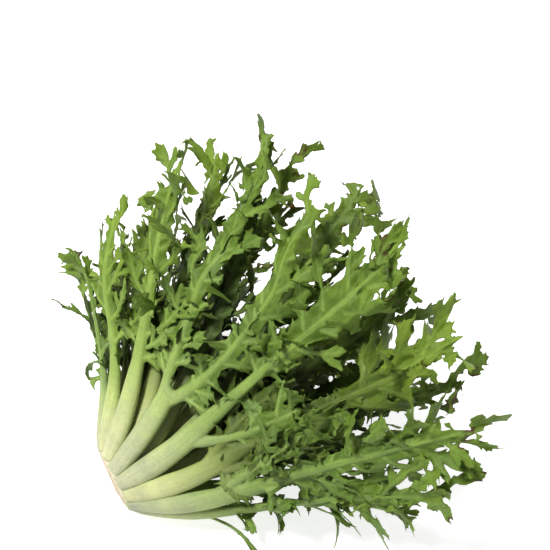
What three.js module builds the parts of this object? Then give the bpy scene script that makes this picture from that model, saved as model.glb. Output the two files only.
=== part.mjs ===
// A head of curly endive lying on its side: a short cut crown and the leaves that grow from it.
// The leaves sit in nested whorls round the head's axis. Each whorl is a cone that opens from a ring of leaf feet
// on the crown, wider across than it is high, and each leaf is a strip of its whorl's cone: a thick stalk at the
// foot and a thin cupped blade at the tip. The cones never meet, so the leaves lie clear of each other.
// The finished rosette is then tipped over, and its own weight presses it down onto the table.
// Millimetres, +Z up, the table at Z = 0. The head's axis runs from the crown towards +X.
import * as THREE from "three";

// Driving dimensions, in millimetres and degrees.
const HEAD_TILT = 21; // the axis above the table, because the leaf end is so much thicker than the crown
const HEAD_SAG = 0.16; // share of its height that the leaf end loses to its own weight
const TABLE_SOFTNESS = 8.5; // height over which the lowest leaves flatten out onto the table
const CROWN_RADIUS = 18.5;
const CROWN_CUT_RADIUS = 15; // the face where the root was cut off
const CROWN_CUT_X = -16; // where the cut crosses the head's axis
const CROWN_TIP_X = 9.5; // where the growing tip is
const CROWN_CONE = 22; // from the growing tip back to the crown's widest place
const CUT_SLANT = { side: 0.34, top: 0.2 }; // the cut leans, so the feet at +Y and on top stand further forward
const SLANT_REACH = 90; // distance in which the leaves straighten out from the slanted cut
const FLATNESS = 0.88; // height over width of the crown and of each ring of feet
const FLARE_LENGTH = 44; // distance from the foot in which a whorl opens to its full slope
const FLARE_DELAY = 0.3; // share of the slope that is still missing at the foot
const SWING_LENGTH = 85; // distance from the foot in which a leaf leans over to its own side
const FOOT_GAP = 0.9; // between a leaf's foot and the crown
const SIDE_GAP = 1.2; // the least gap between neighbours in one whorl
const STATIONS = 13; // cross-sections along a leaf

// spread and rise are the slopes of the whorl's cone, sideways and upwards. stalk is the stalk's full width,
// thick its thickness, and blade the full width of the leafy part.
const WHORLS = {
  heart: { foot: 4.2, spread: 9, rise: 6, stalk: 6.2, thick: 3.2, blade: 21 },
  inner: { foot: 8.6, spread: 21, rise: 12, stalk: 7.6, thick: 4, blade: 28 },
  middle: { foot: 13.1, spread: 33, rise: 18, stalk: 10.5, thick: 5, blade: 36 },
  upper: { foot: 17.8, spread: 45, rise: 24, stalk: 14.5, thick: 6, blade: 46 },
  outer: { foot: 22.8, spread: 56, rise: 29.5, stalk: 17, thick: 7, blade: 54 },
};

// One row per leaf: its whorl, its foot's place and its tip's place round the axis in degrees (0 at the +Y side,
// 90 on top, 180 at the -Y side, 270 against the table) and its length.
const LEAVES = [
  ["outer", 0, 12, 160],
  ["outer", 26, 38, 166],
  ["outer", 51, 61, 186],
  ["outer", 77, 76, 255],
  ["outer", 103, 92, 285],
  ["outer", 129, 106, 295],
  ["outer", 154, 119, 290],
  ["outer", 180, 136, 290],
  ["outer", 206, 154, 240],
  ["outer", 231, 180, 208],
  ["outer", 257, 214, 204],
  ["outer", 283, 250, 215],
  ["outer", 309, 288, 204],
  ["outer", 334, 328, 180],
  ["upper", 0, 356, 171],
  ["upper", 30, 26, 177],
  ["upper", 60, 50, 204],
  ["upper", 90, 68, 242],
  ["upper", 120, 81, 272],
  ["upper", 150, 96, 284],
  ["upper", 180, 113, 262],
  ["upper", 210, 138, 256],
  ["upper", 240, 164, 222],
  ["upper", 270, 202, 204],
  ["upper", 300, 252, 211],
  ["upper", 330, 308, 194],
  ["middle", 0, 346, 167],
  ["middle", 36, 22, 180],
  ["middle", 72, 56, 222],
  ["middle", 108, 76, 244],
  ["middle", 144, 95, 248],
  ["middle", 180, 124, 224],
  ["middle", 216, 150, 218],
  ["middle", 252, 188, 204],
  ["middle", 288, 238, 194],
  ["middle", 324, 294, 180],
  ["inner", 30, 34, 173],
  ["inner", 82, 72, 204],
  ["inner", 133, 110, 204],
  ["inner", 184, 164, 178],
  ["inner", 235, 216, 168],
  ["inner", 286, 276, 162],
  ["inner", 336, 336, 162],
  ["heart", 45, 40, 143],
  ["heart", 135, 125, 139],
  ["heart", 225, 220, 131],
  ["heart", 315, 312, 133],
].map(([kind, foot, tip, length]) => ({ kind, whorl: WHORLS[kind], foot, lean: turn(foot, tip), length }));

// Shares of a leaf's length from foot to tip, with the share of the stalk's and the blade's width and the share of
// the stalk's thickness found there.
const PROFILE = [
  { at: 0, stalk: 0.72, blade: 0, thick: 0.55 },
  { at: 0.06, stalk: 0.8, blade: 0, thick: 0.72 },
  { at: 0.18, stalk: 1, blade: 0, thick: 1 },
  { at: 0.3, stalk: 0.9, blade: 0.05, thick: 0.95 },
  { at: 0.45, stalk: 0.6, blade: 0.42, thick: 0.75 },
  { at: 0.6, stalk: 0.35, blade: 0.78, thick: 0.58 },
  { at: 0.75, stalk: 0.2, blade: 0.95, thick: 0.44 },
  { at: 0.88, stalk: 0.1, blade: 0.8, thick: 0.34 },
  { at: 0.96, stalk: 0.05, blade: 0.45, thick: 0.28 },
  { at: 1, stalk: 0, blade: 0.12, thick: 0.2 },
];
const LAMINA = 1.1; // half thickness of the blade beside its rib, where the stalk has ended

const radians = THREE.MathUtils.degToRad;

// The turn from one place round the axis to another, from -180 to 180 degrees.
function turn(from, to) {
  return ((((to - from + 180) % 360) + 360) % 360) - 180;
}

function profileAt(share) {
  const next = Math.max(1, PROFILE.findIndex((row) => row.at >= share));
  const [low, high] = [PROFILE[next - 1], PROFILE[next]];
  const mix = (share - low.at) / (high.at - low.at);
  const between = (key) => THREE.MathUtils.lerp(low[key], high[key], mix);
  return { stalk: between("stalk"), blade: between("blade"), thick: between("thick") };
}

// How far a whorl has opened at a distance along the axis from its feet, for a final slope of one.
function flare(x) {
  return x - FLARE_DELAY * FLARE_LENGTH * (1 - Math.exp(-x / FLARE_LENGTH));
}

// The crown is highest on the axis, so inner leaves start further forward than outer ones.
function crownX(radius) {
  return CROWN_TIP_X - CROWN_CONE * (radius / CROWN_RADIUS) ** 2;
}

// A point of a whorl's cone, at an angle round the axis and a distance x along it from the feet.
function onWhorl(whorl, angle, x) {
  const open = flare(x);
  const across = whorl.foot + open * Math.tan(radians(whorl.spread));
  const up = whorl.foot * FLATNESS + open * Math.tan(radians(whorl.rise));
  const footX = crownX(whorl.foot - whorl.thick * 0.3) + FOOT_GAP;
  return new THREE.Vector3(footX + x, across * Math.cos(angle), up * Math.sin(angle));
}

// Tips the rosette over and lets it sag and flatten onto the table. The map keeps points above each other in order.
function settle(point) {
  const tilt = radians(HEAD_TILT);
  const outer = WHORLS.outer;
  const underside = (outer.foot * FLATNESS + outer.thick * 0.3) * Math.cos(tilt);
  const axisHeight = underside - CROWN_CUT_X * Math.sin(tilt);
  const slant = CUT_SLANT.side * point.y + CUT_SLANT.top * point.z;
  const along = point.x + slant * (1 - THREE.MathUtils.smoothstep(point.x, CROWN_CUT_X, SLANT_REACH));
  const x = along * Math.cos(tilt) - point.z * Math.sin(tilt);
  let z = axisHeight + along * Math.sin(tilt) + point.z * Math.cos(tilt);
  z *= 1 - HEAD_SAG * THREE.MathUtils.smoothstep(x, 30, 260);
  if (z < TABLE_SOFTNESS) z = TABLE_SOFTNESS * Math.exp(z / TABLE_SOFTNESS - 1);
  return new THREE.Vector3(x, point.y, z);
}

function angleAt(leaf, x) {
  return leaf.foot + leaf.lean * (1 - Math.exp(-x / SWING_LENGTH));
}

// The angle that belongs to a leaf on each side at a distance x: halfway to its nearest neighbour.
function roomBeside(leaf, x) {
  const others = LEAVES.filter((other) => other.whorl === leaf.whorl && other !== leaf);
  return radians(Math.min(...others.map((other) => Math.abs(turn(angleAt(leaf, x), angleAt(other, x))))) / 2);
}

// One cross-section: a flat lens across the stalk, or a thin strip with a raised rib across the blade.
// Its eight points go round from the left edge over the outside to the right edge and back over the inside.
function section(leaf, share) {
  const { whorl, length } = leaf;
  const tip = radians(leaf.foot + leaf.lean);
  const slope = Math.hypot(
    Math.tan(radians(whorl.spread)) * Math.cos(tip),
    Math.tan(radians(whorl.rise)) * Math.sin(tip),
  );
  const x = (share * length) / Math.hypot(1, slope);
  const middle = radians(angleAt(leaf, x));
  const profile = profileAt(share);
  const halfWidth = (profile.stalk * whorl.stalk + profile.blade * whorl.blade) / 2;
  const rib = (profile.thick * whorl.thick) / 2;
  const side = THREE.MathUtils.lerp(rib * 0.8, LAMINA, Math.min(1, profile.blade * 2.5));
  const perRadian = onWhorl(whorl, middle + 0.01, x).distanceTo(onWhorl(whorl, middle - 0.01, x)) / 0.02;
  const reach = Math.min(halfWidth / perRadian, roomBeside(leaf, x) - SIDE_GAP / 2 / perRadian);
  const place = (across, out) => {
    const angle = middle + across * reach;
    const along = onWhorl(whorl, angle, x + 0.5).sub(onWhorl(whorl, angle, x - 0.5));
    const round = onWhorl(whorl, angle + 0.01, x).sub(onWhorl(whorl, angle - 0.01, x));
    const outward = new THREE.Vector3().crossVectors(round, along).normalize();
    return settle(onWhorl(whorl, angle, x).addScaledVector(outward, out));
  };
  return [
    place(-1, 0), place(-0.55, side), place(0, rib), place(0.55, side),
    place(1, 0), place(0.55, -side), place(0, -rib), place(-0.55, -side),
  ];
}

function middleOf(points) {
  return points.reduce((sum, p) => sum.add(p), new THREE.Vector3()).divideScalar(points.length);
}

function leafGeometry(leaf) {
  const rings = Array.from({ length: STATIONS }, (_, i) => section(leaf, i / (STATIONS - 1)));
  const around = rings[0].length;
  const points = [middleOf(rings[0]), ...rings.flat(), middleOf(rings.at(-1))];
  const at = (ring, i) => 1 + ring * around + (i % around);
  const faces = [];
  for (let i = 0; i < around; i++) {
    faces.push(0, at(0, i + 1), at(0, i));
    for (let ring = 0; ring < STATIONS - 1; ring++) {
      faces.push(at(ring, i), at(ring + 1, i + 1), at(ring + 1, i));
      faces.push(at(ring, i), at(ring, i + 1), at(ring + 1, i + 1));
    }
    faces.push(points.length - 1, at(STATIONS - 1, i), at(STATIONS - 1, i + 1));
  }
  return new THREE.BufferGeometry().setFromPoints(points).setIndex(faces);
}

// The crown: a stubby cone with its cut face towards -X, widest just ahead of the cut.
function crownGeometry() {
  const cone = Array.from({ length: 8 }, (_, i) => {
    const radius = (CROWN_RADIUS * (7 - i)) / 7;
    return new THREE.Vector2(radius, crownX(radius));
  });
  const cut = [new THREE.Vector2(0, CROWN_CUT_X), new THREE.Vector2(CROWN_CUT_RADIUS, CROWN_CUT_X)];
  const lathe = new THREE.LatheGeometry([...cut, ...cone], 24);
  const position = lathe.getAttribute("position");
  // The lathe turns about Y. Its axis is laid along X, flattened like the rings of feet, and settled with them.
  for (let i = 0; i < position.count; i++) {
    const turned = new THREE.Vector3().fromBufferAttribute(position, i);
    const placed = settle(new THREE.Vector3(turned.y, turned.z, turned.x * FLATNESS));
    position.setXYZ(i, placed.x, placed.y, placed.z);
  }
  return lathe;
}

function piece(name, geometry, color, roughness) {
  const mesh = new THREE.Mesh(geometry, new THREE.MeshStandardMaterial({ color, roughness, metalness: 0 }));
  mesh.name = name;
  return mesh;
}

const COLOURS = { outer: 0x5f8f35, upper: 0x6f9c3d, middle: 0x84ad4a, inner: 0xa3c05c, heart: 0xc5d37c };

const head = new THREE.Group();
head.add(piece("crown", crownGeometry(), 0xe9e8cf, 0.6));
const counts = {};
for (const leaf of LEAVES) {
  counts[leaf.kind] = (counts[leaf.kind] ?? 0) + 1;
  const number = String(counts[leaf.kind]).padStart(2, "0");
  head.add(piece(`${leaf.kind}_leaf_${number}`, leafGeometry(leaf), COLOURS[leaf.kind], 0.55));
}

// The origin goes to the middle of the underside of the whole head's box.
const box = new THREE.Box3().setFromObject(head);
const centre = box.getCenter(new THREE.Vector3());
head.position.set(-centre.x, -centre.y, -box.min.z);

export default head;
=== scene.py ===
"""The look of a head of curly endive that lies on its side.

Each leaf's plain CAD solid gives the line that the leaf follows. On that line grows a real leaf: a stalk
that forks into veins, with a strip of blade along each vein, cut into lobes and teeth. The leaf is drawn flat
first, in millimetres, as (s, t): s along the leaf from its foot and t across it. The flat outline becomes a
two-sided mesh, its lobes are curled, and the whole is bent onto the leaf's line in the head.
"""

import math

import bpy
import numpy as np
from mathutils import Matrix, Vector


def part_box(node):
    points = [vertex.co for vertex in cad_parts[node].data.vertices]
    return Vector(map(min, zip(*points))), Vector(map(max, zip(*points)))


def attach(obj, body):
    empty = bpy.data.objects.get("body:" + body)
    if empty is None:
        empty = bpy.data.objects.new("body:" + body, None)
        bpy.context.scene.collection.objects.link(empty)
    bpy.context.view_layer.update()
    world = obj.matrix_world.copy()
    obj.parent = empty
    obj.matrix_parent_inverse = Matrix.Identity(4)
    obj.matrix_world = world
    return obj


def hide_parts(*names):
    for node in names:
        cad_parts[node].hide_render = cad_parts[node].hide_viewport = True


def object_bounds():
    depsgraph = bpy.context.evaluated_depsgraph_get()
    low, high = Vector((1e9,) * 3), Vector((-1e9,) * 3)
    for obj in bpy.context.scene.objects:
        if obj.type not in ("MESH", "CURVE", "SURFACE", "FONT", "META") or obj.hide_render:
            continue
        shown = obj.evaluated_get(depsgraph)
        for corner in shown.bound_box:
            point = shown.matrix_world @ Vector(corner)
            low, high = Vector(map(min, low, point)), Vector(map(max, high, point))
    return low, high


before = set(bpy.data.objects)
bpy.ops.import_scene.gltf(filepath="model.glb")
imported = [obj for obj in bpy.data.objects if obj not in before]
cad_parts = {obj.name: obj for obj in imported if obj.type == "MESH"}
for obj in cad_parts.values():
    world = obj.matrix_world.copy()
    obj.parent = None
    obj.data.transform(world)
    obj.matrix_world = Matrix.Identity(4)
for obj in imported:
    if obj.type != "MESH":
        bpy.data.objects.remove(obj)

CAD_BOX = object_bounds()
MM = 0.001

# Blade styles, one for each whorl. Lengths and half-widths are in mm, and shares are of the leaf's length.
#   stalk: the stalk's half-width              first: share where the lobes begin
#   spacing: between lobes on one side         lobe: length of the longest lobe
#   wing: blade beside a lobe's vein           blade: blade beside the midrib, at most
#   tooth: length of a tooth                   curl: how far lobes curl, in radians
#   ruffle: height of the waves in the blade   reach: how much of its line the leaf fills
#   roll: spread of how far tips roll over, in radians
STYLE_KEYS = "stalk first spacing lobe wing blade tooth curl ruffle reach roll".split()
STYLES = {
    "outer": (8.6, 0.35, 23, 66, 3.5, 8.0, 8.0, 1.1, 3.8, 1.0, 0.3),
    "upper": (7.6, 0.32, 20, 68, 3.3, 7.0, 8.0, 1.2, 4.2, 1.0, 0.45),
    "middle": (5.2, 0.28, 15, 62, 2.4, 3.6, 7.0, 1.3, 3.8, 1.08, 0.6),
    "inner": (4.2, 0.26, 13, 44, 1.4, 1.6, 4.5, 1.6, 3.8, 1.08, 0.7),
    "heart": (3.0, 0.22, 12, 32, 1.1, 1.3, 4.0, 1.8, 3.5, 1.0, 0.8),
}
# What single leaves have instead of their whorl's style, or besides it.
#   arms: forks of the midrib, each the share of the leaf's length where it leaves, its heading there, its
#       length as a share of the leaf's, how far it turns, and the share of a whole leaf that it ends like
#   main_end: share where a midrib ends in its arms
#   sprigs: thin side shoots, each the share where it leaves, its heading, length, turn and bend
#   early: how much of the blade is there from the first lobes on
#   sink: how far the leaf's middle lies deeper
#   sheets: how many sheets it has, when not two
#   look: which whorl's colours it has, and with them that whorl's painted shade
SPECIAL = {
    "outer_leaf_01": dict(sheets=1),
    "outer_leaf_02": dict(sheets=1),
    "outer_leaf_03": dict(sheets=1, early=0.4),
    "outer_leaf_04": dict(reach=0.93, roll=0.1, blade=9, early=0.2),
    "outer_leaf_05": dict(
        stalk=8.2,
        main_end=0.27,
        arms=[(0.25, 0.28, 0.76, -0.12, 1.0), (0.255, -0.62, 0.70, 0.84, 1.0)],
        blade=7.5,
        lobe=56,
        early=0.5,
        roll=0.1,
    ),
    "outer_leaf_06": dict(
        stalk=8.4, first=0.5, arms=[(0.24, -0.75, 0.30, 0.5, 0.8)], blade=12.5, lobe=46, wing=3.6, roll=0.15
    ),
    "outer_leaf_07": dict(
        stalk=7.8,
        arms=[(0.25, 0.5, 0.32, -0.35, 0.8), (0.27, -0.5, 0.3, 0.3, 0.8)],
        sink=16,
        lobe=50,
        curl=1.3,
        # painted shade: the upper whorl's darker colours, for a leaf sunk into the head
        look="upper",
    ),
    "outer_leaf_08": dict(reach=0.95, arms=[(0.27, 0.40, 0.42, -0.2, 0.9)], lobe=50, early=0.2),
    "outer_leaf_09": dict(first=0.5, sprigs=[(0.17, -0.45, 78, 0.2, 1.25)]),
    "upper_leaf_04": dict(blade=9, roll=0.2),
    "upper_leaf_05": dict(blade=10, roll=0.2, early=0.3),
    # These three upper leaves have the middle whorl's darker colours: painted shade for where they sink into
    # the head.
    "upper_leaf_06": dict(sink=12, roll=0.2, look="middle"),
    "upper_leaf_07": dict(sink=16, look="middle"),
    "upper_leaf_08": dict(sink=8, look="middle"),
}
GRID = 1.1  # spacing of the flat mesh
LAMINA = 0.38  # half thickness of the blade
SLIT = 2.6  # gap kept between neighbouring lobes of the flat leaf
FLOOR_FILM = 3.0  # height over which what would pass through the table flattens onto it
ROOM_SHARE = 0.03  # how far past the CAD model's box a leaf may reach: this share of the box's side,
ROOM = 9.0  # and this much more
EASE = 5.0  # depth over which a leaf that reaches too far out is drawn in
FAR = 30.0  # stands for any distance too large to matter
LOBE_BLEND = 1.8  # width over which a lobe's own strips run into each other
BLADE_BLEND = 3.0  # width over which a lobe runs into the blade of its midrib
LEAF_SEED = 4100
CROWN_SEED = 77
USUAL_LENGTH = 270  # length of the leaf that the styles' sizes are for


# -------------------------------------------------------------------------------------------- the leaf's line


def solid_rings(node):
    """The cross-sections of a leaf's CAD solid from foot to tip, in mm: one array of points for each."""
    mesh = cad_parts[node].data
    corners = np.array([v.co for v in mesh.vertices]) / MM
    points, same = np.unique(np.round(corners, 2), axis=0, return_inverse=True)
    same = same.reshape(-1)
    beside = [set() for _ in points]
    for edge in mesh.edges:
        a, b = same[edge.vertices[0]], same[edge.vertices[1]]
        if a != b:
            beside[a].add(b)
            beside[b].add(a)
    crown = np.array(sum(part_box("crown"), Vector())) / 2 / MM
    poles = [i for i, near in enumerate(beside) if len(near) == 8]
    ring = [min(poles, key=lambda i: np.linalg.norm(points[i] - crown))]
    seen, rings = set(ring), []
    while ring:
        if len(ring) > 1:
            rings.append(points[ring])
        ring = sorted(set().union(*(beside[i] for i in ring)) - seen)
        seen |= set(ring)
    return np.array(rings)


def unit(vectors):
    """The vectors at length 1."""
    return vectors / np.linalg.norm(vectors, axis=-1, keepdims=True)


class Spine:
    """The curved middle line of a leaf, with the directions along it, across the leaf and out of the head."""

    def __init__(self, node, head_line):
        rings = solid_rings(node)
        centres = rings.mean(axis=1)
        steps = np.linalg.norm(np.diff(centres, axis=0), axis=1)
        stations = np.concatenate([[0], np.cumsum(steps)])
        self.length = stations[-1]
        across = np.array([self.widest(ring) for ring in rings])
        self.foot_width = np.linalg.norm(across[0]) / 2
        across = unit(across)
        for i in range(1, len(across)):
            across[i] *= np.sign(across[i] @ across[i - 1])
        along = np.gradient(centres, stations, axis=0)
        out = np.cross(along, across)
        if np.sum(out * (centres - head_line(centres))) < 0:
            across = -across
        share = stations / self.length
        self.centre = [np.polynomial.Chebyshev.fit(share, centres[:, k], 6) for k in range(3)]
        self.across = [np.polynomial.Chebyshev.fit(share, across[:, k], 5) for k in range(3)]

    @staticmethod
    def widest(ring):
        """The vector between the two points of a cross-section that are furthest apart."""
        gaps = np.linalg.norm(ring[:, None] - ring[None], axis=-1)
        a, b = np.unravel_index(np.argmax(gaps), gaps.shape)
        return ring[a] - ring[b]

    def at(self, s):
        """Centre, along, across and out at distances s, carried straight on past both ends."""
        share = np.clip(s / self.length, 0, 1)
        centre = np.stack([fit(share) for fit in self.centre], -1)
        along = unit(np.stack([fit.deriv()(share) for fit in self.centre], -1))
        across = np.stack([fit(share) for fit in self.across], -1)
        across = unit(across - along * np.sum(across * along, -1, keepdims=True))
        centre = centre + along * (s - share * self.length)[..., None]
        return centre, along, across, np.cross(along, across)


# -------------------------------------------------------------------------------------------- the flat leaf


class Rib:
    """A vein and its strip of blade on the flat leaf: points, both half-widths at each, and its lobe."""

    def __init__(self, points, vein, strip, lobe, tooth=False):
        self.tooth = tooth
        self.points = np.asarray(points, float)
        self.vein = np.broadcast_to(np.asarray(vein, float), len(self.points))
        self.strip = np.broadcast_to(np.asarray(strip, float), len(self.points))
        self.lobe = lobe

    def measure(self, s, t):
        """For flat points: distance past the strip's edge, distance from the vein, and its half-width."""
        past = np.full(s.shape, np.inf)
        apart = np.full(s.shape, np.inf)
        width = np.ones(s.shape)
        for i in range(len(self.points) - 1):
            start, way = self.points[i], self.points[i + 1] - self.points[i]
            u = np.clip(((s - start[0]) * way[0] + (t - start[1]) * way[1]) / (way @ way), 0, 1)
            far = np.hypot(s - start[0] - u * way[0], t - start[1] - u * way[1])
            past = np.minimum(past, far - self.strip[i] - u * (self.strip[i + 1] - self.strip[i]))
            vein = self.vein[i] + u * (self.vein[i + 1] - self.vein[i])
            nearer = far - vein < apart - width
            apart = np.where(nearer, far, apart)
            width = np.where(nearer, vein, width)
        return past, apart, width

    def near(self, s, t, margin):
        """The numbers of the points in the box round this rib."""
        low, high = self.points.min(axis=0) - margin, self.points.max(axis=0) + margin
        return np.flatnonzero((s > low[0]) & (s < high[0]) & (t > low[1]) & (t < high[1]))


class Lobe:
    """How a lobe bends out of the flat leaf: where it starts, its heading, length, bend and twist."""

    def __init__(self, start, heading, length, bend, twist):
        self.start = np.asarray(start, float)
        self.way = np.array([math.cos(heading), math.sin(heading)])
        self.side = np.array([-self.way[1], self.way[0]])
        self.length, self.bend, self.twist = length, bend, twist

    def move(self, s, t, height):
        """How far the bend carries flat points at a height over the leaf: (s, t, height) offsets."""
        a = (s - self.start[0]) * self.way[0] + (t - self.start[1]) * self.way[1]
        b = (s - self.start[0]) * self.side[0] + (t - self.start[1]) * self.side[1]
        forward = np.maximum(a, 0)
        turn = self.bend * forward / self.length
        radius = self.length / self.bend
        lean = self.twist * np.minimum(forward / self.length, 1.3)
        sideways = b * np.cos(lean) - height * np.sin(lean)
        lift = b * np.sin(lean) + height * np.cos(lean)
        ahead = radius * np.sin(turn) - lift * np.sin(turn) - forward
        up = radius * (1 - np.cos(turn)) + lift * np.cos(turn) - height
        sideways = sideways - b
        return (
            self.way[0] * ahead + self.side[0] * sideways,
            self.way[1] * ahead + self.side[1] * sideways,
            up,
        )


def course(start, heading, length, sweep, steps):
    """Points of a line that starts at a heading and turns by sweep, mostly early, and its headings."""
    left = 1 - (np.arange(steps) + 0.5) / steps
    headings = heading + sweep * (1 - left * left)
    moves = length / steps * np.stack([np.cos(headings), np.sin(headings)], -1)
    return np.vstack([start, start + np.cumsum(moves, axis=0)]), headings


class Plan:
    """A flat sheet's layout: its ribs, and the lobes that they belong to. Lobe 0 is the midrib and its blade.

    A leaf is two sheets. The second has a thin midrib hidden in the first one's, and more lobes along it, so
    that lobes stand in front of each other as they do on a curly leaf.
    """

    def __init__(self, style, length, foot_width, rng, second=False):
        self.style, self.rng, self.second = style, rng, second
        self.ribs, self.lobes = [], [None]
        self.length = length
        start = style["first"] - 0.1 if second else 0
        end = style.get("main_end", 1.0)
        stalk = style["stalk"]
        self.vein_course = (
            [0, 0.05, 0.13, 0.24, 0.34, 0.46, 0.6, 0.8, 1],
            [foot_width, max(foot_width, stalk * 0.95), stalk * 1.03, stalk * 0.92, stalk * 0.66, stalk * 0.4]
            + [stalk * 0.25, stalk * 0.15, 0.5],
        )
        start = min(start, end - 0.08)
        share = np.linspace(start, end, max(8, int(length * (end - start) / 9)))
        self.rachis([start * length, 0], 0, length * (end - start), 0, share, side=rng.choice([-1, 1]))
        for place, heading, size, sweep, finish in style.get("arms", []):
            share = np.linspace(place + 0.04, finish, max(8, int(size * length / 9)))
            start = [place * length, math.copysign(self.vein_at(place) * 0.35, heading)]
            self.rachis(start, heading, size * length, sweep, share, side=math.copysign(1, heading))
        if not second:
            for place, heading, size, sweep, bend in style.get("sprigs", []):
                self.sprig(place * length, heading, size, sweep, bend)

    def vein_at(self, share):
        """The midrib's half-width at a share of the leaf's length."""
        return np.interp(share, *self.vein_course)

    def rachis(self, start, heading, length, sweep, share, side):
        """A midrib or an arm of it, with lobes on alternate sides.

        share is how far up the leaf each point counts as.
        """
        style, rng = self.style, self.rng
        points, headings = course(start, heading, length, sweep, len(share) - 1)
        vein = self.vein_at(share) * (1 if heading == 0 else 0.72) * (0.5 if self.second else 1)
        first, early = style["first"], style.get("early", 0)
        wing = style["blade"] * np.interp(
            share,
            [0, first - 0.03, first + 0.05, 0.5, 0.65, 0.8, 0.93, 1],
            [0, 0.03, 0.12 + 0.5 * early, 0.3 + 0.5 * early, 0.6 + 0.35 * early, 1, 0.9, 0.1],
        )
        wing = wing * np.interp(np.linspace(0, 1, len(share)), [0.8, 1], [1, 0.15])
        strip = vein if self.second else vein + wing
        self.ribs.append(Rib(points, vein, strip, 0))
        late = int(np.searchsorted(share, first + 0.02))
        if late < len(share) - 2 and not self.second:
            self.teeth(points[late:], headings[late:], strip[late:], style["tooth"] * 0.75, 0)
        at = np.linspace(0, length, len(share))
        way = style["spacing"] * 0.4
        if share[0] < first:
            way = (first - share[0]) / (share[-1] - share[0]) * length
        way += style["spacing"] * rng.uniform(0.2, 0.5) * self.second
        while way < 0.96 * length:
            u = np.interp(way, at, share)
            i = min(int(np.searchsorted(at, way)), len(headings)) - 1
            centre = points[i] + (points[i + 1] - points[i]) * (way - at[i]) / (at[i + 1] - at[i])
            local = np.interp(way, at, strip)
            full = np.interp(u, [first, first + 0.12, 0.55, 0.78, 0.96], [0.4, 0.8, 1, 0.85, 0.55])
            size = style["lobe"] * full * rng.uniform(0.7, 1.25)
            lean = side * np.interp(u, [first, 0.95], [1.0, 0.65]) * rng.uniform(0.75, 1.3)
            normal = np.array([-math.sin(headings[i]), math.cos(headings[i])])
            thick = 0.5 + np.interp(way, at, vein) * 0.09
            self.lobe(centre + normal * side * local * 0.45, headings[i] + lean, size + local * 0.5, thick)
            way += style["spacing"] * rng.uniform(0.75, 1.25) / 2
            side = -side

    def lobe(self, start, heading, size, vein):
        """A lobe: narrow at its foot, broader towards its end, with fingers and teeth."""
        style, rng = self.style, self.rng
        number = len(self.lobes)
        sweep = -math.copysign(1, heading) * rng.uniform(-0.3, 0.8)
        steps = max(4, int(size / 5))
        points, headings = course(start, heading, size, sweep, steps)
        u = np.linspace(0, 1, steps + 1)
        wing = style["wing"] * min(1.15, max(0.45, size / 34))
        veins = vein * (1 - 0.8 * u) + 0.2
        strip = veins + wing * np.interp(u, [0, 0.3, 0.6, 0.85, 1], [0.12, 0.22, 1.0, 0.75, 0.05])
        self.ribs.append(Rib(points, veins, strip, number))
        self.teeth(points, headings, strip, style["tooth"], number)
        side = rng.choice([-1, 1])
        for place in np.arange(0.3, 0.78, 11 / size):
            i = int(place * steps)
            lean = side * rng.uniform(0.6, 1.05)
            length = size * rng.uniform(0.3, 0.52)
            self.finger(points[i], headings[i] + lean, length, veins[i] * 0.6, wing * 0.5, number)
            side = -side
        bend = rng.normal(0.2, 1.1 if self.second else 0.7) * style["curl"]
        bend = math.copysign(max(abs(bend), 0.05), bend)
        self.lobes.append(Lobe(start, heading + sweep * 0.5, size, bend, rng.normal(0, 0.85) * style["curl"]))

    def sprig(self, s, heading, size, sweep, bend):
        """A bare side shoot with a little leaf at its end."""
        number = len(self.lobes)
        start = np.array([s, math.copysign(self.vein_at(s / self.length) * 0.5, heading)])
        points, headings = course(start, heading, size, sweep, 12)
        veins = np.linspace(1.9, 0.6, 13)
        strip = veins + np.interp(np.arange(13), [0, 7, 10, 12], [0.2, 0.5, 3.2, 0.1])
        self.ribs.append(Rib(points, veins, strip, number))
        self.teeth(points[5:], headings[5:], strip[5:], 2.5, number)
        self.lobes.append(Lobe(start, heading + sweep * 0.5, size, bend, 1.1))

    def finger(self, start, heading, size, vein, wing, number):
        """A small lobe on a lobe."""
        sweep = -math.copysign(1, heading) * self.rng.uniform(-0.2, 0.7)
        points, headings = course(start, heading, size, sweep, 4)
        veins = vein * np.linspace(1, 0.3, 5) + 0.15
        strip = veins + wing * np.array([0.3, 0.5, 1, 0.7, 0.05])
        self.ribs.append(Rib(points, veins, strip, number))
        self.teeth(points, headings, strip, self.style["tooth"] * 0.7, number)

    def teeth(self, points, headings, strip, size, number):
        """Pointed teeth along both sides of a line, leaning towards its end."""
        rng = self.rng
        for i in range(1, len(headings)):
            for side in (1, -1):
                if rng.random() < 0.3:
                    continue
                length = strip[i] + size * rng.uniform(0.4, 1.2)
                heading = headings[i] + side * rng.uniform(0.7, 1.2)
                start = points[i] + rng.uniform(-0.4, 0.4) * (points[i + 1] - points[i])
                line, _ = course(start, heading, length, -side * rng.uniform(0, 0.8), 2)
                foot = min(1.8, 0.19 * length + 0.35)
                self.ribs.append(Rib(line, [0.45, 0.35, 0.25], [foot, foot * 0.55, 0.15], number, tooth=True))


# ----------------------------------------------------------------------------------- the mesh of a flat leaf


def flat_grid(main, half_height, start, end):
    """Rows along the leaf and columns across it. Inside the stalk the columns follow its width."""
    rows = np.arange(start, end, GRID)
    width = np.interp(rows, main.points[:, 0], main.vein)
    inside = np.sin(np.linspace(0, math.pi / 2, 6))
    outside = np.arange(1, math.ceil(half_height / GRID)) * GRID
    half = np.concatenate([width[:, None] * inside, width[:, None] + outside], axis=1)
    t = np.concatenate([-half[:, :0:-1], half], axis=1)
    return np.repeat(rows[:, None], t.shape[1], axis=1), t


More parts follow.
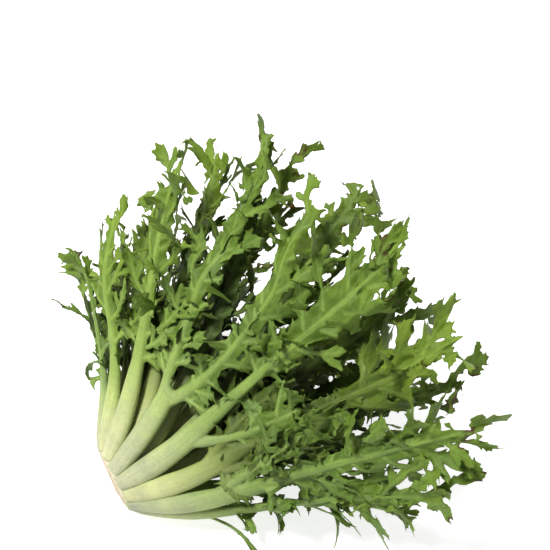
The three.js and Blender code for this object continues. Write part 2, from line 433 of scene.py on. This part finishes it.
def lobe_distances(ribs, s, t):
    """Distances of flat points past the edge of each lobe, one row for a lobe."""
    apart = np.full((max(rib.lobe for rib in ribs) + 1, len(s)), FAR)
    for rib in ribs:
        near = rib.near(s, t, 10 + rib.strip.max())
        past, _, _ = rib.measure(s[near], t[near])
        old = apart[rib.lobe, near]
        mix = np.clip(0.5 + 0.5 * (old - past) / LOBE_BLEND, 0, 1)
        apart[rib.lobe, near] = old + (past - old) * mix - LOBE_BLEND * mix * (1 - mix)
    return apart


def outline_field(ribs, s, t):
    """Below zero inside the leaf. Lobes that would meet stay apart, and they join the blade in curves."""
    apart = lobe_distances(ribs, s.reshape(-1), t.reshape(-1))
    main = apart[0]
    two = np.partition(np.vstack([apart[1:], np.full((2, apart.shape[1]), FAR)]), 1, axis=0)[:2]
    lobes = np.maximum(two[0], SLIT - (two[1] - two[0]))
    mix = np.clip(0.5 + 0.5 * (main - lobes) / BLADE_BLEND, 0, 1)
    return (main + (lobes - main) * mix - BLADE_BLEND * mix * (1 - mix)).reshape(s.shape)


def joined(inside, row, column):
    """The part of the inside that hangs together with one cell."""
    found = np.zeros_like(inside)
    found[row, column] = True
    count = 0
    while count != found.sum():
        count = found.sum()
        for _ in range(12):
            wide = found.copy()
            wide[1:] |= found[:-1]
            wide[:-1] |= found[1:]
            found = wide.copy()
            found[:, 1:] |= wide[:, :-1]
            found[:, :-1] |= wide[:, 1:]
            found &= inside
    return found


def cut_cells(field, s, t):
    """The inside of the outline as vertices and faces.

    Returns s, t, a mask of outline vertices, and the faces, grouped by their number of corners.
    """
    middle = np.argmin(np.abs(t[0]))
    seed = np.argmin(np.where(field[:, middle] < 0, s[:, 0], np.inf))
    inside = joined(field < 0, seed, middle)
    field = np.where((field < 0) & ~inside, 0.3, field)
    corner = np.full(s.shape, -1)
    corner[inside] = np.arange(inside.sum())
    places = [np.stack([s[inside], t[inside]], -1)]
    total = len(places[0])
    crossings = []
    for shift in ((0, 1), (1, 0)):
        a = (slice(None, -1 if shift[0] else None), slice(None, -1 if shift[1] else None))
        b = (slice(shift[0], None), slice(shift[1], None))
        cut = inside[a] != inside[b]
        mix = np.clip(field[a][cut] / (field[a][cut] - field[b][cut]), 0.06, 0.94)
        index = np.full(cut.shape, -1)
        index[cut] = total + np.arange(cut.sum())
        total += cut.sum()
        places.append(np.stack([k[a][cut] + mix * (k[b][cut] - k[a][cut]) for k in (s, t)], -1))
        crossings.append(index)
    level, upright = crossings
    tokens = np.stack(
        [
            corner[:-1, :-1], level[:-1], corner[:-1, 1:], upright[:, 1:],
            corner[1:, 1:], level[1:], corner[1:, :-1], upright[:, :-1],
        ],
        -1,
    ).reshape(-1, 8)  # fmt: skip
    tokens = tokens[(tokens >= 0).any(axis=1)]
    faces = {}
    count = (tokens >= 0).sum(axis=1)
    for n in range(3, 7):
        some = tokens[count == n]
        faces[n] = some[some >= 0].reshape(-1, n)
    places = np.vstack(places)
    rim = np.arange(total) >= len(places) - (total - inside.sum())
    return places[:, 0], places[:, 1], rim, faces


def relief(ribs, s, t):
    """The ribs' relief in mm, how much of a rib each point is, from 0 to 1, and how far it is from one."""
    far = np.full(s.shape, 12.0)
    height = np.zeros(s.shape)
    mark = np.zeros(s.shape)
    for rib in ribs:
        near = rib.near(s, t, 3 + rib.vein.max() if rib.tooth else 9 + rib.vein.max())
        _, apart, width = rib.measure(s[near], t[near])
        if not rib.tooth:
            far[near] = np.minimum(far[near], np.clip(apart - 0.5 * width, 0, None))
        share = apart / (width + 0.4 * GRID)
        swell = 0.6 * width * np.sqrt(np.clip(1 - share**2, 0, 1)) * np.clip(2 * width - 0.7, 0, 1)
        height[near] = np.maximum(height[near], swell)
        soft = np.clip(1.6 - 1.1 * share, 0, 1) * np.clip(width / 0.9, 0.2, 1)
        mark[near] = np.maximum(mark[near], soft * soft * (3 - 2 * soft))
    return height, mark, far


def lobe_shares(ribs, s, t):
    """Distance to the leaf's edge, and each lobe's share of each point."""
    apart = lobe_distances(ribs, s, t)
    nearest = apart.min(axis=0)
    weight = np.clip(1 - (apart - nearest) / SLIT, 0, 1) ** 2
    weight[0] = np.clip(1 - (apart[0] - nearest) / 8, 0, 1) ** 2
    return np.clip(-nearest, 0, None), weight / weight.sum(axis=0)


def ripple(rng, s, t, size, waves=7):
    """Smooth waves over the flat leaf with hills about size apart, from about -1 to 1."""
    total = np.zeros(s.shape)
    for _ in range(waves):
        angle, phase = rng.uniform(0, 2 * math.pi, 2)
        pitch = 2 * math.pi / size / 2 * rng.uniform(0.7, 1.4)
        total += np.sin(pitch * (s * math.cos(angle) + t * math.sin(angle)) + phase)
    return total / math.sqrt(waves)


class Posture:
    """How a leaf differs from its line: how far it rolls over at the tip, and strays sideways and out."""

    def __init__(self, rng, roll, sink):
        self.sink = sink
        self.roll = rng.normal(0, roll)
        self.size = rng.uniform([2, 1.5], [6, 4.5])
        self.pitch = rng.uniform(0.7, 1.3, 2) * 2 * math.pi
        self.phase = rng.uniform(0, 2 * math.pi, 2)

    def drift(self, share):
        """How far the leaf strays from its line, sideways and out, at a share of its length."""
        sideways, outwards = (self.size[k] * np.sin(share * self.pitch[k] + self.phase[k]) for k in range(2))
        return sideways, outwards - self.sink * np.sin(np.clip(share, 0, 1) * math.pi) ** 2


class Sheet:
    """One of a leaf's two sheets: its mesh, made flat and then bent onto the leaf's line."""

    def __init__(self, spine, plan, posture, rng):
        self.spine, self.style, self.posture, self.rng = spine, plan.style, posture, rng
        self.ribs, self.lobes = plan.ribs, plan.lobes
        ends = np.vstack([rib.points for rib in self.ribs])
        low, high = ends[:, 0].min() - 2, ends[:, 0].max() + 4
        s, t = flat_grid(self.ribs[0], np.abs(ends[:, 1]).max() + 3, low, high)
        field = np.maximum(outline_field(self.ribs, s, t), -1.0 - s)
        self.s, self.t, self.rim, self.faces = cut_cells(field, s, t)

    def heights(self):
        """Heights of the outer and the inner side over the flat leaf."""
        swell, self.mark, self.far = relief(self.ribs, self.s, self.t)
        self.inner, self.weight = lobe_shares(self.ribs, self.s, self.t)
        film = LAMINA * np.sqrt(np.clip(self.inner / 1.2, 0, 1))
        main = self.ribs[0]
        stalk = np.interp(self.s, main.points[:, 0], main.vein)
        groove = 0.12 * stalk * np.clip(1 - (self.t / stalk) ** 2, 0, 1) * np.clip(self.s / 30, 0, 1)
        outer = np.where(self.rim, 0, film + swell)
        inner = np.where(self.rim, 0, -film - 0.35 * swell + groove)
        return outer, inner

    def bend(self, height):
        """Flat points at a height over the leaf, curled, ruffled and set on the leaf's line, in mm."""
        s, t, h = self.s.copy(), self.t.copy(), height.copy()
        for number in range(1, len(self.lobes)):
            some = self.weight[number] > 0.004
            share = self.weight[number, some]
            move = self.lobes[number].move(self.s[some], self.t[some], height[some])
            s[some] += share * move[0]
            t[some] += share * move[1]
            h[some] += share * move[2]
        h += self.waves
        late = np.clip((s / self.spine.length - 0.2) / 0.6, 0, 1)
        turn = self.posture.roll * late**1.5
        t, h = t * np.cos(turn) - h * np.sin(turn), t * np.sin(turn) + h * np.cos(turn)
        centre, _, across, out = self.spine.at(s)
        sideways, outwards = self.posture.drift(s / self.spine.length)
        return centre + across * (t + sideways * late)[:, None] + out * (h + outwards * late)[:, None]

    def shape(self):
        """Both sides' points in the head, in mm."""
        outer, inner = self.heights()
        share = np.clip(self.s / self.spine.length, 0, 1.1)
        away = np.abs(self.t) / 20
        late = np.clip((share - 0.2) / 0.6, 0, 1)
        rng = self.rng
        ruffle = self.style["ruffle"]
        edge = np.clip(self.far / 4, 0, 1.7) ** 1.3 * late
        self.waves = ruffle * ripple(rng, self.s, self.t, 34) * np.clip(away, 0, 1.3) * late
        self.waves += 0.55 * ruffle * ripple(rng, self.s, self.t, 15) * edge
        self.waves += 0.32 * ruffle * ripple(rng, self.s, self.t, 6.5) * edge
        self.waves -= self.t**2 / (2 * np.interp(share, [0, 0.3, 1], [32, 70, 120])) * 0.8
        return self.bend(outer), self.bend(inner)


def within_reach(points):
    """Keeps points, in mm, above the table and close round the CAD model's box, softly, so nothing is cut."""
    low, high = (np.array(corner) / MM for corner in CAD_BOX)
    room = ROOM_SHARE * (high - low) + ROOM - EASE
    beyond = np.maximum(points - high - room, 0)
    points -= beyond - EASE * (1 - np.exp(-beyond / EASE))
    beyond = np.maximum(low - room - points, 0)
    points += beyond - EASE * (1 - np.exp(-beyond / EASE))
    z = points[:, 2]
    points[:, 2] = np.where(z < FLOOR_FILM, FLOOR_FILM * np.exp(np.minimum(z / FLOOR_FILM - 1, 0)), z)
    return points


def sheet_mesh(sheet, band):
    """A sheet's mesh: its outer side, and its inner side turned over and sewn on along the outline.

    The foot of a second sheet may stay open, inside the first one's stalk.
    Returns points, corners, faces' corner counts, the points' marks and flat places, and the corners' UVs.
    """
    outer, inner = sheet.shape()
    count = len(outer)
    inner_index = np.where(sheet.rim, np.arange(count), count + np.cumsum(~sheet.rim) - 1)
    points = within_reach(np.vstack([outer, inner[~sheet.rim]])) * MM
    corners, sizes, flip = [], [], []
    for n, faces in sheet.faces.items():
        for back in (False, True):
            corners.append((inner_index[faces][:, ::-1] if back else faces).reshape(-1))
            sizes.append(np.full(len(faces), n))
            flip.append(np.full(faces.size, back))
    corners, sizes, flip = map(np.concatenate, (corners, sizes, flip))
    source = np.concatenate([np.arange(count), np.flatnonzero(~sheet.rim)])
    s, t = sheet.s[source], sheet.t[source]
    share = np.clip(s / sheet.spine.length, 0, 1)
    marks = np.stack([share, sheet.mark[source], np.clip(sheet.inner[source] / 4, 0, 1)], -1)
    u = 0.01 + 0.98 * (s - s.min()) / np.ptp(s)
    v = 0.005 + 0.24 * (t - t.min()) / np.ptp(t)
    places = np.stack([u[corners], v[corners] + 0.25 * flip + 0.5 * band], -1)
    return points, corners, sizes, marks, np.stack([s, t], -1), places


def leaf_object(node, sheets, material, tone):
    """The mesh object of a leaf, with its sheets' meshes in one."""
    parts = [sheet_mesh(sheet, band) for band, sheet in enumerate(sheets)]
    base = np.cumsum([0] + [len(part[0]) for part in parts])
    points, _, sizes, marks, flat, places = (np.concatenate(group) for group in zip(*parts))
    corners = np.concatenate([part[1] + first for part, first in zip(parts, base)])
    mesh = bpy.data.meshes.new(node)
    mesh.vertices.add(len(points))
    mesh.vertices.foreach_set("co", points.reshape(-1))
    mesh.loops.add(len(corners))
    mesh.loops.foreach_set("vertex_index", corners.astype(np.int32))
    mesh.polygons.add(len(sizes))
    mesh.polygons.foreach_set("loop_start", (np.cumsum(sizes) - sizes).astype(np.int32))
    mesh.polygons.foreach_set("use_smooth", np.ones(len(sizes), bool))
    mesh.update(calc_edges=True)
    own = np.full((len(points), 1), tone)
    colour = mesh.color_attributes.new("leaf", "FLOAT_COLOR", "POINT")
    colour.data.foreach_set("color", np.hstack([marks, own]).reshape(-1))
    place = mesh.attributes.new("flat", "FLOAT_VECTOR", "POINT")
    place.data.foreach_set("vector", np.hstack([flat, own * 100]).reshape(-1))
    mesh.uv_layers.new(name="OFBake").uv.foreach_set("vector", places.reshape(-1))
    mesh.materials.append(material)
    thing = bpy.data.objects.new(node + "_look", mesh)
    bpy.context.scene.collection.objects.link(thing)
    return thing


# ------------------------------------------------------------------------------------------------ materials


def ramp(nodes, stops):
    """A colour ramp node with these stops, each a place from 0 to 1 and a colour."""
    node = nodes.new("ShaderNodeValToRGB")
    while len(node.color_ramp.elements) > 1:
        node.color_ramp.elements.remove(node.color_ramp.elements[0])
    for i, (place, colour) in enumerate(stops):
        stop = node.color_ramp.elements[0] if i == 0 else node.color_ramp.elements.new(place)
        stop.position = place
        stop.color = (*colour, 1)
    return node


def mix_colour(nodes, links, kind, factor, a, b):
    """A Mix node for colours. factor, a and b are sockets, numbers or colours."""
    node = nodes.new("ShaderNodeMix")
    node.data_type = "RGBA"
    node.blend_type = kind
    for socket, value in ((node.inputs[0], factor), (node.inputs[6], a), (node.inputs[7], b)):
        if isinstance(value, bpy.types.NodeSocket):
            links.new(value, socket)
        else:
            socket.default_value = value
    return node.outputs[2]


def noise(nodes, links, vector, scale, detail=3.0, rough=0.5):
    """Soft noise over a vector, from 0 to 1."""
    node = nodes.new("ShaderNodeTexNoise")
    node.inputs["Scale"].default_value = scale
    node.inputs["Detail"].default_value = detail
    node.inputs["Roughness"].default_value = rough
    links.new(vector, node.inputs["Vector"])
    return node.outputs["Fac"]


def ramped(nodes, links, value, stops):
    """The colour that a ramp with these stops has at a value."""
    node = ramp(nodes, stops)
    links.new(value, node.inputs[0])
    return node.outputs[0]


def tinted(nodes, links, colour, strength, value, stops):
    """A colour multiplied by a ramp's colour at a value, with a strength from 0 to 1."""
    return mix_colour(nodes, links, "MULTIPLY", strength, colour, ramped(nodes, links, value, stops))


def attribute(nodes, name):
    """A node that reads a named attribute of the mesh."""
    node = nodes.new("ShaderNodeAttribute")
    node.attribute_name = name
    return node


def arithmetic(nodes, links, kind, *values):
    """A Math node's result. values are sockets or numbers."""
    node = nodes.new("ShaderNodeMath")
    node.operation = kind
    for socket, value in zip(node.inputs, values):
        if isinstance(value, bpy.types.NodeSocket):
            links.new(value, socket)
        else:
            socket.default_value = value
    return node.outputs[0]


def fine_relief(nodes, links, height, strength, distance):
    """Relief too fine for the mesh, put on the material's shader."""
    bump = nodes.new("ShaderNodeBump")
    bump.inputs["Strength"].default_value = strength
    bump.inputs["Distance"].default_value = distance
    links.new(height, bump.inputs["Height"])
    links.new(bump.outputs[0], nodes["Principled BSDF"].inputs["Normal"])


def dry_rims(nodes, links, split, flat, colour):
    """Dark brown rims here and there near the leaf's tip."""
    late = ramped(nodes, links, split.outputs[0], [(0.76, (0, 0, 0)), (0.9, (1, 1, 1))])
    rim = ramped(nodes, links, split.outputs[2], [(0.1, (1, 1, 1)), (0.4, (0, 0, 0))])
    patches = noise(nodes, links, flat.outputs["Vector"], 0.07, 2)
    spots = ramped(nodes, links, patches, [(0.6, (0, 0, 0)), (0.66, (1, 1, 1))])
    dry = mix_colour(nodes, links, "MULTIPLY", 1.0, late, rim)
    dry = mix_colour(nodes, links, "MULTIPLY", 1.0, dry, spots)
    speckle = noise(nodes, links, flat.outputs["Vector"], 0.6, 2)
    brown = ramped(nodes, links, speckle, [(0.3, (0.035, 0.016, 0.006)), (0.7, (0.075, 0.035, 0.012))])
    return mix_colour(nodes, links, "MIX", dry, colour, brown)


def leaf_green(nodes, links, split, blotches, rib_stops, blade_stops):
    """The pale foot that turns green, sooner on one leaf than on the next, and not in a straight line."""
    way = arithmetic(nodes, links, "MULTIPLY_ADD", blotches, 0.16, split.outputs[0])
    way = arithmetic(nodes, links, "SUBTRACT", way, 0.08)
    rib = ramped(nodes, links, way, rib_stops)
    blade = ramped(nodes, links, way, blade_stops)
    return mix_colour(nodes, links, "MIX", split.outputs[1], blade, rib)


def leaf_material(name, rib_stops, blade_stops):
    """Leaf tissue: green by the place on the leaf, with streaks along it, blotches, grain and dry rims."""
    material = bpy.data.materials.new(name)
    material.use_nodes = True
    nodes, links = material.node_tree.nodes, material.node_tree.links
    marks, flat = attribute(nodes, "leaf"), attribute(nodes, "flat")
    split = nodes.new("ShaderNodeSeparateColor")
    links.new(marks.outputs["Color"], split.inputs[0])
    streak = nodes.new("ShaderNodeMapping")
    streak.inputs["Scale"].default_value = (0.035, 1.1, 1)
    links.new(flat.outputs["Vector"], streak.inputs["Vector"])
    streaks = noise(nodes, links, streak.outputs[0], 1.0, 4)
    blotches = noise(nodes, links, flat.outputs["Vector"], 0.05, 4, 0.6)
    grain = noise(nodes, links, flat.outputs["Vector"], 0.45, 4, 0.65)
    own = marks.outputs["Alpha"]

    colour = leaf_green(nodes, links, split, blotches, rib_stops, blade_stops)
    for strength, value, stops in (
        (0.55, streaks, [(0.3, (0.78, 0.80, 0.74)), (0.7, (1.12, 1.1, 1.1))]),
        (0.8, blotches, [(0.3, (0.70, 0.76, 0.72)), (0.65, (1.15, 1.12, 1.0))]),
        (0.7, grain, [(0.35, (0.86, 0.88, 0.84)), (0.65, (1.08, 1.07, 1.05))]),
        (1.0, own, [(0, (0.82, 0.84, 0.85)), (0.5, (1, 1, 1)), (1, (1.16, 1.12, 0.95))]),
    ):
        colour = tinted(nodes, links, colour, strength, value, stops)
    shader = nodes["Principled BSDF"]
    links.new(dry_rims(nodes, links, split, flat, colour), shader.inputs["Base Color"])
    shader.inputs["Roughness"].default_value = 0.58
    shader.inputs["Specular IOR Level"].default_value = 0.22
    shader.inputs["Subsurface Weight"].default_value = 0.12
    shader.inputs["Subsurface Radius"].default_value = (0.8, 1.0, 0.25)
    shader.inputs["Subsurface Scale"].default_value = 0.002
    fine_relief(nodes, links, arithmetic(nodes, links, "ADD", streaks, grain), 0.35, 0.0006)
    return material


# Colours from foot to tip: along the ribs, and on the blade beside them. The blade's darker stretch from 0.3
# to 0.6 of the length, lighter again at the tip, is partly the leaf's own green and partly painted shade for
# the head's dim middle.
RIB_STOPS = [
    (0.0, (0.51, 0.52, 0.36)),
    (0.10, (0.49, 0.52, 0.31)),
    (0.22, (0.40, 0.48, 0.20)),
    (0.34, (0.25, 0.35, 0.095)),
    (0.60, (0.210, 0.315, 0.068)),
    (1.0, (0.185, 0.285, 0.048)),
]
BLADE_STOPS = [
    (0.0, (0.40, 0.47, 0.21)),
    (0.16, (0.21, 0.31, 0.07)),
    (0.30, (0.105, 0.180, 0.028)),
    (0.60, (0.102, 0.173, 0.021)),
    (1.0, (0.130, 0.208, 0.023)),
]
# Painted shade: how dark each whorl's leaves are made, as a share of those colours, in their middle and at
# their tips, for the shade that falls deep in the head.
WHORL_PAINTED_SHADE = {
    "outer": (1.0, 1.06),
    "upper": (0.42, 1.02),
    "middle": (0.28, 0.82),
    "inner": (0.22, 0.4),
    "heart": (0.22, 0.35),
}


def with_painted_shade(stops, shares):
    """A ramp's stops darkened by two shares into painted shade: one for the leaf's middle, and one for its
    tip.
    """
    middle, tip = shares
    darkness = {at: np.interp(at, [0.15, 0.32, 0.6, 0.95], [1, middle, middle, tip]) for at, _ in stops}
    return [(at, tuple(c * darkness[at] for c in colour)) for at, colour in stops]


# -------------------------------------------------------------------------------------------------- the scene


def head_line():
    """The line up the middle of the head, as a function that gives the nearest points on it."""
    crown = np.array(sum(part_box("crown"), Vector())) / 2 / MM
    hearts = [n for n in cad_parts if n.startswith("heart")]
    tip = np.mean([np.array(sum(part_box(n), Vector())) / 2 / MM for n in hearts], axis=0)
    way = unit(tip - crown)
    return lambda points: crown + ((points - crown) @ way)[:, None] * way


def grow_leaves():
    """Makes every leaf. Returns the outer leaves' spines."""
    line = head_line()
    spines = []
    # One material for each whorl: the same greens, darkened by the whorl's painted shade.
    materials = {
        kind: leaf_material(kind + "_leaf_look", with_painted_shade(RIB_STOPS, share), with_painted_shade(BLADE_STOPS, share))
        for kind, share in WHORL_PAINTED_SHADE.items()
    }
    for number, node in enumerate(sorted(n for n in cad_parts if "_leaf_" in n)):
        kind = node.split("_")[0]
        rng = np.random.default_rng(LEAF_SEED + number)
        style = {**dict(zip(STYLE_KEYS, STYLES[kind])), **SPECIAL.get(node, {})}
        spine = Spine(node, line)
        posture = Posture(rng, style["roll"], style.get("sink", 0))
        size = np.clip((spine.length / USUAL_LENGTH) ** 0.8, 0.55, 1.1)
        style.update({key: style[key] * size for key in ("spacing", "lobe", "wing", "blade", "tooth")})
        foot = spine.foot_width * 1.15 + 0.4
        reach = spine.length * style["reach"]
        plans = [Plan(style, reach, foot, rng, second) for second in (False, True)[: style.get("sheets", 2)]]
        sheets = [Sheet(spine, plan, posture, rng) for plan in plans]
        if kind == "outer":
            spines.append(spine)
        thing = leaf_object(node, sheets, materials[style.get("look", kind)], rng.uniform(0, 1))
        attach(thing, "root")
        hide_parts(node)
    return spines


def crown_material():
    """Cream flesh, brown where the root was cut off, with the dried rim a little pink."""
    material = bpy.data.materials.new("crown_look")
    material.use_nodes = True
    nodes, links = material.node_tree.nodes, material.node_tree.links
    shader = nodes["Principled BSDF"]
    place = nodes.new("ShaderNodeTexCoord")
    speckle = noise(nodes, links, place.outputs["Object"], 300, 5, 0.6)
    flesh_stops = [
        (0.0, (0.60, 0.61, 0.43)),
        (0.35, (0.60, 0.56, 0.40)),
        (0.62, (0.52, 0.41, 0.27)),
        (0.75, (0.50, 0.37, 0.22)),
        (1.0, (0.66, 0.60, 0.40)),
    ]
    flesh = ramped(nodes, links, attribute(nodes, "crown").outputs["Fac"], flesh_stops)
    colour = tinted(nodes, links, flesh, 0.8, speckle, [(0.35, (0.78, 0.70, 0.62)), (0.62, (1.1, 1.1, 1.08))])
    links.new(colour, shader.inputs["Base Color"])
    shader.inputs["Roughness"].default_value = 0.6
    fine_relief(nodes, links, speckle, 0.5, 0.001)
    return material


def round_feet(spines, s, scale, lift):
    """A closed line round the outer leaves' feet at a distance s along them, in mm, drawn in by scale."""
    centre, _, _, out = zip(*(spine.at(np.array([s])) for spine in spines))
    points = np.vstack(centre) + np.vstack(out) * lift
    waves = np.fft.rfft(points, axis=0)
    count = 8 * len(points)
    smooth = np.fft.irfft(waves * 8, n=count, axis=0)
    middle = smooth.mean(axis=0)
    return middle + (smooth - middle) * scale


# The crown's lines, from inside the leaves to the middle of the cut face: how far along the outer leaves they
# are, in mm, how much they are drawn in, how far out they lie first, in mm, and their place in the colours.
CROWN_RINGS = [
    (14, 0.80, 0.0, 0),
    (6, 0.94, 2.2, 0.05),
    (1, 0.97, 2.6, 0.2),
    (-3, 0.95, 2.0, 0.4),
    (-5, 0.88, 1.0, 0.6),
    (-5.4, 0.78, 0.5, 0.7),
    (-5.0, 0.55, 0, 0.85),
    (-4.6, 0.28, 0, 1),
]


def grow_crown(spines):
    """The stem end that holds the leaves: sides that run into the stalks, and the cut face, a bit sunk."""
    lines = [round_feet(spines, s, scale, lift) for s, scale, lift, _ in CROWN_RINGS]
    count = len(lines[0])
    points = np.vstack(lines + [lines[0].mean(axis=0)[None], lines[-1].mean(axis=0)[None]])
    start, end = len(points) - 2, len(points) - 1
    last = len(CROWN_RINGS) - 1
    faces = []
    for k in range(count):
        n = (k + 1) % count
        faces.append((start, k, n))
        faces.append((end, last * count + n, last * count + k))
        for r in range(last):
            faces.append((r * count + k, (r + 1) * count + k, (r + 1) * count + n, r * count + n))
    rng = np.random.default_rng(CROWN_SEED)
    x, y, z = points.T
    points[:, 2] += 0.35 * ripple(rng, x * 3, y * 3 + z, 12)
    mesh = bpy.data.meshes.new("crown")
    mesh.from_pydata((within_reach(points) * MM).tolist(), [], faces)
    mesh.polygons.foreach_set("use_smooth", np.ones(len(faces), bool))
    marks = mesh.attributes.new("crown", "FLOAT", "POINT")
    values = np.repeat([ring[3] for ring in CROWN_RINGS], count).tolist() + [0, 1]
    marks.data.foreach_set("value", values)
    mesh.materials.append(crown_material())
    thing = bpy.data.objects.new("crown_look", mesh)
    bpy.context.scene.collection.objects.link(thing)
    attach(thing, "root")
    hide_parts("crown")


def paper_material(name, shade, glow):
    """Matt paper that also glows, so that shadows on it stay pale."""
    paper = bpy.data.materials.new(name)
    paper.use_nodes = True
    shader = paper.node_tree.nodes["Principled BSDF"]
    shader.inputs["Base Color"].default_value = (shade, shade, shade, 1)
    shader.inputs["Roughness"].default_value = 0.9
    shader.inputs["Emission Color"].default_value = (1, 1, 1, 1)
    shader.inputs["Emission Strength"].default_value = glow
    return paper


def lay_floor():
    """The table: plain pale paper."""
    bpy.ops.mesh.primitive_plane_add(size=30, location=(0, 0, 0))
    floor = bpy.context.object
    floor.name = "floor"
    floor.data.materials.append(paper_material("paper", 0.5, 0.8))


def raise_wall():
    """A white wall far round the table, which lights and shades nothing."""
    bpy.ops.mesh.primitive_cylinder_add(vertices=96, radius=14.5, depth=24, end_fill_type="NOTHING")
    wall = bpy.context.object
    wall.name = "wall"
    wall.visible_diffuse = False
    wall.visible_glossy = False
    wall.visible_transmission = False
    wall.visible_shadow = False
    wall.data.materials.append(paper_material("wall", 0.9, 0.9))


def light_room(strength):
    """Even white light from all round."""
    world = bpy.data.worlds.new("studio")
    bpy.context.scene.world = world
    world.use_nodes = True
    sky = world.node_tree.nodes["Background"]
    sky.inputs["Color"].default_value = (1, 1, 1, 1)
    sky.inputs["Strength"].default_value = strength


def window_light(name, way, spread, strength):
    """Even soft light that travels along a direction, from a source that looks spread degrees wide."""
    light = bpy.data.lights.new(name, "SUN")
    light.angle = math.radians(spread)
    light.energy = strength
    thing = bpy.data.objects.new(name, light)
    thing.rotation_mode = "QUATERNION"
    thing.rotation_quaternion = way.to_track_quat("-Z", "Y")
    bpy.context.scene.collection.objects.link(thing)


VIEW_TURN = math.radians(45)  # the camera's right, turned from +X towards -Y
VIEW_RISE = math.radians(50)
VIEW_DISTANCE = 1.35
VIEW_LENS = 121.8
CROWN_IN_VIEW = (-0.1073, -0.139)  # where the crown is from the view's middle: right and up, in metres


def aim_camera():
    """Places the camera. Returns its right, its up and the way it looks."""
    right = Vector((math.cos(VIEW_TURN), -math.sin(VIEW_TURN), 0))
    away = Vector((math.sin(VIEW_TURN), math.cos(VIEW_TURN), 0))
    forward = away * math.cos(VIEW_RISE) - Vector((0, 0, 1)) * math.sin(VIEW_RISE)
    up = away * math.sin(VIEW_RISE) + Vector((0, 0, 1)) * math.cos(VIEW_RISE)
    crown = sum(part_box("crown"), Vector()) / 2
    target = crown - right * CROWN_IN_VIEW[0] - up * CROWN_IN_VIEW[1]
    camera = bpy.data.objects.new("camera", bpy.data.cameras.new("camera"))
    camera.data.lens = VIEW_LENS
    camera.location = target - forward * VIEW_DISTANCE
    camera.rotation_mode = "QUATERNION"
    camera.rotation_quaternion = forward.to_track_quat("-Z", "Y")
    bpy.context.scene.collection.objects.link(camera)
    bpy.context.scene.camera = camera
    return right, up, forward


right, up, forward = aim_camera()
lay_floor()
raise_wall()
light_room(0.2)
window_light("key", forward + right * 0.5 - up * 0.7, 16, 4.4)
window_light("back", -right * 0.2 - up * 1.0 - forward * 0.5, 40, 0.5)
bpy.context.scene.view_settings.view_transform = "Standard"
grow_crown(grow_leaves())
